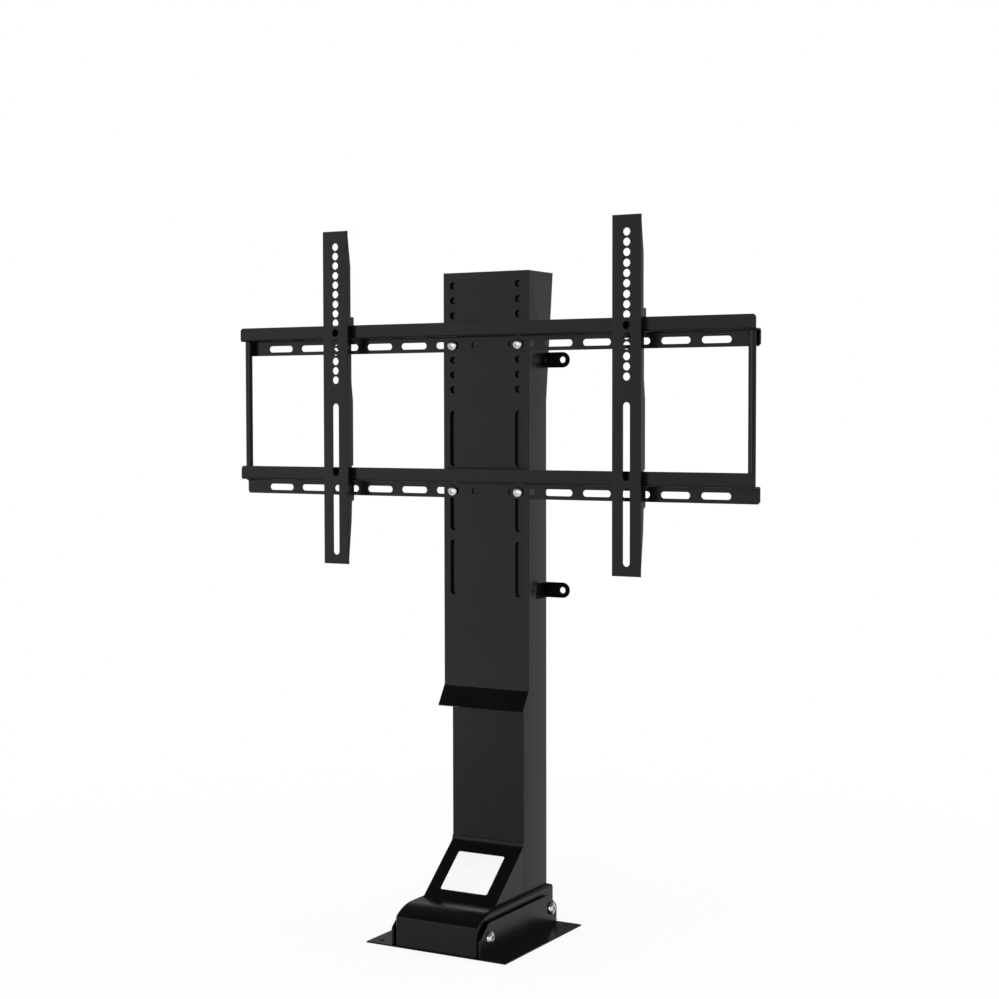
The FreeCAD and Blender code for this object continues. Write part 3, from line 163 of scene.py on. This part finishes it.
def joined_copy(node, body, material, easing):
    """The node's own form as one skin: its loose triangles are joined at shared corners and the flat
    ones merged into whole faces, its curves are shaded smoothly, and its edges are eased by that width."""
    same_corner = 0.000002
    same_face, crease = radians(0.4), radians(32)
    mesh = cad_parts[node].data.copy()
    skin = bmesh.new()
    skin.from_mesh(mesh)
    bmesh.ops.remove_doubles(skin, verts=skin.verts, dist=same_corner)
    bmesh.ops.dissolve_limit(skin, angle_limit=same_face, verts=skin.verts, edges=skin.edges)
    skin.to_mesh(mesh)
    skin.free()
    mesh.materials.clear()
    mesh.materials.append(material)
    mesh.polygons.foreach_set("use_smooth", np.ones(len(mesh.polygons), dtype=bool))
    mesh.set_sharp_from_angle(angle=crease)
    piece = bpy.data.objects.new(node + "_finish", mesh)
    scene.collection.objects.link(piece)
    edge = piece.modifiers.new("eased_edges", "BEVEL")
    edge.width = easing
    edge.segments = 2
    edge.limit_method = "ANGLE"
    edge.angle_limit = crease
    edge.harden_normals = True
    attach(piece, body)
    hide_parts(node)


joined_copy("base_plate", "base", base_coat, easing=0.0003)

# Ears
# Upright 3 mm side plates with cut corners, welded to the base plate just outside the foot's shell.
for side in ("left", "right"):
    joined_copy("side_bracket_" + side, "base", powder_coat, easing=0.0003)

# Foot bolts, nuts and spacers
# Bright zinc-plated pan-head screws with a hexagon socket, pressed in one blow and then threaded. They
# pass the ears, a spacer ring and the shell into nuts inside.
zinc = mottled_finish("bright_zinc_plating", tones=((0.74, 0.75, 0.77), (0.84, 0.85, 0.86)), drift=(420, 3),
                      roughness=(0.20, 0.30), gloss=(900, 2), grains=[(0.000008, 1500, 2)], metallic=1.0)


def ring_walls(count, steps):
    """The four-cornered faces between each ring of points and the next one."""
    ring, step = np.meshgrid(np.arange(count - 1), np.arange(steps), indexing="ij")
    here = ring * steps + step
    beside = ring * steps + (step + 1) % steps
    return np.stack([here, here + steps, beside + steps, beside], axis=-1).reshape(-1, 4).tolist()


def rings_piece(name, rings, material, body):
    """One closed skin through rings of points, with its first and last ring filled flat.

    The rings are an array of ring, step and coordinate. Each step runs counterclockwise as seen from
    the first ring's side, so that the faces between two rings point outwards.
    """
    count, steps = rings.shape[:2]
    first_cap = np.arange(steps)
    last_cap = first_cap[::-1] + (count - 1) * steps
    mesh = bpy.data.meshes.new(name)
    mesh.from_pydata(rings.reshape(-1, 3).tolist(), [],
                     ring_walls(count, steps) + [first_cap.tolist(), last_cap.tolist()])
    mesh.polygons.foreach_set("use_smooth", np.ones(len(mesh.polygons), dtype=bool))
    crease = radians(34)
    mesh.set_sharp_from_angle(angle=crease)
    mesh.materials.append(material)
    piece = bpy.data.objects.new(name, mesh)
    scene.collection.objects.link(piece)
    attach(piece, body)
    return piece


def screw_rings(seat, outward, head, height, socket, shank, length, steps=48):
    """Rings of a domed socket screw, from the floor of its socket over the dome to its point.

    Each ring lies at a height along the axis. Its reach is a mix of a circle's and a hexagon's, which
    is half the width across flats over the cosine of the angle from the nearest flat's middle. The
    dome's height falls from the crown as a ball's does.
    """
    edge_round, point_round, floor_round = 0.0003, 0.0006, 0.0002
    floor_share, rim_share, depth_share = 0.94, 0.62, 0.35
    flatness = 1.25
    ball = (head * head + height * height) / (2 * height) * flatness
    turn = np.linspace(0, 2 * pi, steps, endpoint=False)
    hexagon = socket / 2 / np.cos((turn + pi / 6) % (pi / 3) - pi / 6)
    rim = socket * rim_share
    over = np.linspace(rim, head - edge_round, 9)
    dome = height - ball + np.sqrt(ball * ball - over * over)
    edge = height - ball + np.sqrt(ball * ball - head * head)
    depth = height * depth_share
    plain = np.array([0, 0, 0, *over, head, head, head - edge_round, shank, shank, shank - point_round])
    six = np.array([floor_share, 1.0, 1.0] + [0.0] * (len(plain) - 3))
    level = np.array([depth, depth + floor_round, dome[0] - edge_round, *dome, edge - edge_round, edge_round,
                      0.0, 0.0, point_round - length, -length])
    reach = plain[:, None] + six[:, None] * hexagon[None, :]
    outward = np.array(outward, float)
    across = np.array([0, 0, 1.0]) if abs(outward[2]) < 0.5 else np.array([1.0, 0, 0])
    beside = np.cross(outward, across)
    flat = np.cos(turn)[:, None] * across + np.sin(turn)[:, None] * beside
    return np.array(seat) + reach[:, :, None] * flat[None] + level[:, None, None] * outward


def screw_set(name, node, body, slot, material, places, **sizes):
    """A piece for each screw of one kind, in place of its node; each place is a seat and a direction."""
    for number, (seat, outward) in enumerate(places, 1):
        rings = screw_rings(seat, outward, **sizes)
        screw = rings_piece("%s_%d" % (name, number), rings, material, body)
        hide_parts(node)


def middle(node):
    """The middle of a node's box."""
    low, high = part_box(node)
    return (low + high) / 2


def both_ways(centre, pitch):
    """Two places a pitch apart about a centre, the lower one first."""
    return centre - pitch / 2, centre + pitch / 2


ear_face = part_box("side_bracket_right")[1].x
bolt_middle = middle("base_bolts")
bolt_pitch = 0.172
screw_set("foot_bolt", "base_bolts", "base", "bright_zinc", zinc,
          [((side * ear_face, y, bolt_middle.z), (side, 0, 0))
           for side in (-1, 1) for y in both_ways(bolt_middle.y, bolt_pitch)],
          head=0.00875, height=0.0055, socket=0.006, shank=0.005, length=0.021)


def coat(material, *nodes):
    """Gives nodes whose form is right as it is a finish."""
    for node in nodes:
        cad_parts[node].data.materials.clear()
        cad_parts[node].data.materials.append(material)


coat(zinc, "base_nuts", "base_spacers")

# Foot shell
# A deep-drawn steel cover with a swept nose and rounded rims, open at the top for column and panel.
joined_copy("foot_shell", "base", powder_coat, easing=0.0003)

# Foot bridge and bearing block
# A folded steel saddle inside the shell, and on it a machined casting that holds the ball bearing.
coat(powder_coat, "foot_bridge")
casting = mottled_finish("machined_casting", tones=((0.15, 0.15, 0.155), (0.24, 0.24, 0.25)), drift=(90, 4),
                         roughness=(0.42, 0.6), gloss=(300, 3), grains=[(0.00012, 500, 4)], metallic=0.8)
coat(casting, "bearing_block")
ground_steel = mottled_finish("ground_steel", tones=((0.48, 0.49, 0.51), (0.62, 0.63, 0.65)), drift=(160, 3),
                              roughness=(0.22, 0.36), gloss=(60, 2, (1, 1, 24)),
                              grains=[(0.00001, 60, 2, (1, 1, 30))], metallic=1.0)
coat(ground_steel, "spindle_bearing")

# Gearbox and motor
# A die-cast worm gearbox screwed up under the bridge, with a steel-cased motor lying forward from it
# and a moulded cap on the motor's end.
die_cast = mottled_finish("die_cast_alloy", tones=((0.50, 0.50, 0.52), (0.66, 0.66, 0.68)), drift=(120, 4),
                          roughness=(0.38, 0.56), gloss=(260, 3), grains=[(0.0001, 700, 4)], metallic=0.9)
coat(die_cast, "gearbox")
coat(ground_steel, "motor")
coat(zinc, "gearbox_screws")
moulded = mottled_finish("moulded_black_plastic", tones=((0.0008, 0.0008, 0.0009), (0.0018, 0.0018, 0.0019)),
                         drift=(50, 3), roughness=(0.5, 0.62), gloss=(220, 2), grains=[(0.00003, 1800, 3)],
                         specular=0.06)
coat(moulded, "motor_end_cap")

# Column
# A welded rectangular steel tube that stands on the bridge, with a glide collar of black acetal inside
# its mouth that the moving tube runs in.
joined_copy("outer_column", "base", powder_coat, easing=0.0003)
acetal = mottled_finish("black_acetal", tones=((0.014, 0.014, 0.015), (0.022, 0.022, 0.023)), drift=(60, 2),
                        roughness=(0.3, 0.42), gloss=(200, 2, (1, 1, 0.1)),
                        grains=[(0.00002, 400, 2, (1, 1, 0.1))])
coat(acetal, "column_collar")

# Spindle
# A ground steel screw that turns in its bearing and drives the bronze nut up the column.
coat(ground_steel, "spindle")

# Control cover and label plate
# A folded cover with two triangular cheeks, and on its slope a plain white panel with rounded corners.
joined_copy("control_cover", "base", powder_coat, easing=0.00015)
white_gloss = mottled_finish("white_gloss_panel", tones=((0.935, 0.935, 0.935), (0.945, 0.945, 0.945)),
                             drift=(30, 2), roughness=(0.22, 0.3), gloss=(90, 2), grains=[(0.000003, 350, 1)])
joined_copy("label_plate", "base", white_gloss, easing=0.00025)

# Control box and sockets
# A closed moulded box behind the panel, and two moulded sockets in the foot's rear wall.
coat(moulded, "control_box")
for node in ("power_inlet", "keypad_socket"):
    joined_copy(node, "base", moulded, easing=0.0003)

# Inner tube
# The moving steel tube with its glide ring, the block and bronze nut in its foot, and its cast cap.
joined_copy("inner_tube", "carriage", powder_coat, easing=0.0003)
coat(acetal, "tube_glide_ring")
coat(casting, "nut_block", "tube_cap")
bronze = mottled_finish("turned_bronze", tones=((0.62, 0.42, 0.20), (0.76, 0.54, 0.29)), drift=(150, 3),
                        roughness=(0.24, 0.38), gloss=(80, 2, (1, 1, 20)),
                        grains=[(0.00001, 80, 2, (1, 1, 25))], metallic=1.0)
coat(bronze, "spindle_nut")

# Carriage plate
# A long sheet folded back into two tapering flanges, with a lip kicked forward at its foot and two
# columns of holes and slots that the rails can be bolted at.
joined_copy("carriage_plate", "carriage", powder_coat, easing=0.00025)

# Top plate and its screws
# A flat plate welded between the flanges, held down on the tube's cap by four black oxide screws.
joined_copy("top_plate", "carriage", powder_coat, easing=0.0003)
black_oxide = mottled_finish("black_oxide_steel", tones=((0.018, 0.018, 0.020), (0.034, 0.034, 0.036)),
                             drift=(500, 3), roughness=(0.3, 0.44), gloss=(900, 2),
                             grains=[(0.00002, 1600, 2)], metallic=0.85)
plate_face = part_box("top_plate")[1].z
top_middle = middle("top_screws")
top_pitch_across, top_pitch_back = 0.0762, 0.0309
screw_set("top_screw", "top_screws", "carriage", "black_steel", black_oxide,
          [((x, y, plate_face), (0, 0, 1)) for x in both_ways(top_middle.x, top_pitch_across)
           for y in both_ways(top_middle.y, top_pitch_back)],
          head=0.00525, height=0.0033, socket=0.004, shank=0.003, length=0.014)
coat(acetal, "plate_glides")

# Rails
# Two 800 mm steel strips, each folded twice: a band stands out in front, and a slotted strip lies flat
# on the carriage plate.
for level in ("upper", "lower"):
    joined_copy("rail_" + level, "carriage", powder_coat, easing=0.0003)

# Rail bolts
# Bright zinc-plated domed screws with a hexagon socket, through the strips' slots into flat square nuts
# behind the plate.
sheet = 0.002
slot_drop = 0.0305
rail_bolt_pitch = 0.1022
strip_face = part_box("rail_upper")[1].y - sheet
slot_lines = [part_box("rail_" + level)[1].z - slot_drop for level in ("upper", "lower")]
screw_set("rail_bolt", "rail_bolts", "carriage", "bright_zinc", zinc,
          [((x, strip_face, z), (0, -1, 0)) for x in both_ways(0, rail_bolt_pitch) for z in slot_lines],
          head=0.007, height=0.0046, socket=0.005, shank=0.004, length=0.006)
coat(zinc, "rail_nuts")


# Tie bars
# Round 10 mm steel bars, turned square at the ends with a small chamfer, that join the rails' ends. A
# black screw holds each end through the rail's shelf.
def turned_rings(centre, profile, steps=64):
    """Rings about an upright axis, one for each radius and height of the profile, as on a turned bar."""
    turn = np.linspace(0, 2 * pi, steps, endpoint=False)
    radius, height = np.array(profile).T
    circle = np.stack([np.cos(turn), np.sin(turn), np.zeros(steps)], axis=-1)
    lift = np.stack([np.zeros_like(height), np.zeros_like(height), height], axis=-1)
    return np.array([centre.x, centre.y, 0.0]) + radius[:, None, None] * circle[None] + lift[:, None, :]


bar_radius, bar_chamfer = 0.005, 0.0005
bar_foot, bar_top = [corner.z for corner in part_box("tie_bar_left")]
bar_profile = [(bar_radius - bar_chamfer, bar_top), (bar_radius, bar_top - bar_chamfer),
               (bar_radius, bar_foot + bar_chamfer), (bar_radius - bar_chamfer, bar_foot)]
tie_places = []
for side in ("left", "right"):
    bar_middle = middle("tie_bar_" + side)
    bar = rings_piece("tie_bar_%s_turned" % side, turned_rings(bar_middle, bar_profile), powder_coat,
                      "carriage")
    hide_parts("tie_bar_" + side)
    for face, up in ((bar_top + sheet, 1), (bar_foot - sheet, -1)):
        tie_places.append(((bar_middle.x, bar_middle.y, face), (0, 0, up)))
screw_set("tie_screw", "tie_bar_screws", "carriage", "black_steel", black_oxide, tie_places,
          head=0.0045, height=0.0028, socket=0.003, shank=0.0025, length=0.016)

# Cable clips
# Black plastic tabs behind the right flange, each with an eye for a cable tie and a small black screw.
flange_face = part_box("carriage_plate")[1].x
clip_places = []
for level, screw_y in (("upper", 0.0805), ("lower", 0.045)):
    joined_copy("cable_clip_" + level, "carriage", moulded, easing=0.0004)
    clip_places.append(((flange_face, screw_y, middle("cable_clip_" + level).z), (1, 0, 0)))
screw_set("clip_screw", "clip_screws", "carriage", "black_steel", black_oxide, clip_places,
          head=0.004, height=0.0015, socket=0.0025, shank=0.0025, length=0.0055)

# Arms
# Two upright channels of 2 mm sheet with ramped flanges, round holes above and two long slots below.
# They hook over the upper rail and catch under the lower one, and slide along both.
for side in ("left", "right"):
    joined_copy("arm_" + side, "arm_" + side, powder_coat, easing=0.00025)


# Studio floor
# A plain white floor that lights itself a little and fades into the white surround.
def combined(tree, operation, first, second):
    """What the operation makes of two values, each another node's output or a number."""
    sum_node = tree.nodes.new("ShaderNodeMath")
    sum_node.operation = operation
    feed(tree, first, sum_node.inputs[0])
    feed(tree, second, sum_node.inputs[1])
    return sum_node.outputs[0]


def rays_of(tree, *kinds):
    """One for the rays of any of these kinds, and none for all other rays."""
    path = tree.nodes.new("ShaderNodeLightPath")
    either = path.outputs[kinds[0]]
    for kind in kinds[1:]:
        either = combined(tree, "MAXIMUM", either, path.outputs[kind])
    return either


def mixed_shaders(tree, share, first, second):
    """The first shader where the share is none, the second where it is one."""
    blend = tree.nodes.new("ShaderNodeMixShader")
    for socket, source in zip(blend.inputs, (share, first, second)):
        tree.links.new(source, socket)
    return blend.outputs[0]


def floor_disc(radius, rings=24, steps=96):
    """A flat disc of rings whose radius grows with the square of their number."""
    reach = radius * np.linspace(1 / rings, 1, rings) ** 2
    spots = turned_rings(Vector(), np.stack([reach, np.zeros(rings)], axis=-1), steps)
    mesh = bpy.data.meshes.new("floor")
    mesh.from_pydata(spots.reshape(-1, 3).tolist(), [], ring_walls(rings, steps) + [list(range(steps))])
    return mesh


looked_along = ("Is Camera Ray", "Is Glossy Ray", "Is Transmission Ray")
floor_paint, tree, shader, place = start_finish("white_floor")
drift_colour(tree, shader, clouds(tree, place, 3, 2), (0.88, 0.88, 0.88), (0.9, 0.9, 0.9))
shader.inputs["Roughness"].default_value = 0.9
shader.inputs["Specular IOR Level"].default_value = 0.0
glow = tree.nodes.new("ShaderNodeEmission")
glow_seen, glow_in_gloss, glow_share = 1.0, 0.8, 0.86
glow_strength = ramp(tree, rays_of(tree, "Is Glossy Ray"), 0, 1, glow_seen, glow_in_gloss)
tree.links.new(glow_strength, glow.inputs["Strength"])
share = combined(tree, "MULTIPLY", rays_of(tree, *looked_along), glow_share)
lit = mixed_shaders(tree, share, shader.outputs[0], glow.outputs[0])
distance = tree.nodes.new("ShaderNodeVectorMath")
distance.operation = "LENGTH"
tree.links.new(place, distance.inputs[0])
fade_start, fade_end = 0.35, 1.3
fade = ramp(tree, distance.outputs["Value"], fade_start, fade_end, 0, 1, "SMOOTHSTEP")
clear = tree.nodes.new("ShaderNodeBsdfTransparent")
faded = mixed_shaders(tree, fade, lit, clear.outputs[0])
tree.links.new(faded, tree.nodes["Material Output"].inputs["Surface"])
floor = bpy.data.objects.new("floor", floor_disc(1.4))
floor.data.materials.append(floor_paint)
scene.collection.objects.link(floor)

# Surround
# White to the camera and an even light on the whole. In gloss it is bright round the horizon and dim above
# and below, with a dark card far behind the lift and a little to its left.
surround = bpy.data.worlds.new("surround")
scene.world = surround
surround.use_nodes = True
tree = surround.node_tree
direction = tree.nodes.new("ShaderNodeTexCoord").outputs["Generated"]


def toward(axis):
    """How far each direction of the surround points along an axis: its dot product with the axis."""
    product = tree.nodes.new("ShaderNodeVectorMath")
    product.operation = "DOT_PRODUCT"
    product.inputs[1].default_value = axis
    tree.links.new(direction, product.inputs[0])
    return product.outputs["Value"]


even_light, camera_light = 0.98, 1.0
front_level, rear_level = 0.94, 0.78
card_level, overhead_level, underfoot_level = 0.05, 0.08, 0.1
horizon = ramp(tree, toward((0, 1, 0)), -0.9, 0.9, front_level, rear_level)
carded = ramp(tree, toward((-0.3, 0.95, 0)), 0.92, 0.94, horizon, card_level, "SMOOTHSTEP")
above = ramp(tree, toward((0.15, 0, 1)), 0.175, 0.505, carded, overhead_level, "SMOOTHSTEP")
whole = ramp(tree, toward((0, 0, 1)), -0.68, -0.42, underfoot_level, above, "SMOOTHSTEP")
spread_light = ramp(tree, rays_of(tree, *looked_along), 0, 1, even_light, whole)
white_to_camera = ramp(tree, rays_of(tree, "Is Camera Ray"), 0, 1, spread_light, camera_light)
background = tree.nodes["Background"]
tree.links.new(white_to_camera, background.inputs["Strength"])
background.inputs["Color"].default_value = (1, 1, 1, 1)

# Lamps
# Three soft rectangular lamps, in front and on the left, all turned toward the middle of the lift.
lift_middle = Vector((0, 0, 0.5))
for name, spot, power, width, height in (("lamp_in_front", (0.6, -3.2, 1.0), 18, 1.0, 1.6),
                                         ("lamp_at_left", (-2.3, -2.65, 0.7), 5, 1.2, 2.2),
                                         ("lamp_front_left", (-1.2, -3.7, 0.7), 4, 2.2, 2.2)):
    lamp = bpy.data.lights.new(name, "AREA")
    lamp.shape = "RECTANGLE"
    lamp.size = width
    lamp.size_y = height
    lamp.energy = power
    holder = bpy.data.objects.new(name, lamp)
    holder.location = spot
    holder.rotation_euler = (lift_middle - Vector(spot)).to_track_quat("-Z", "Y").to_euler()
    scene.collection.objects.link(holder)
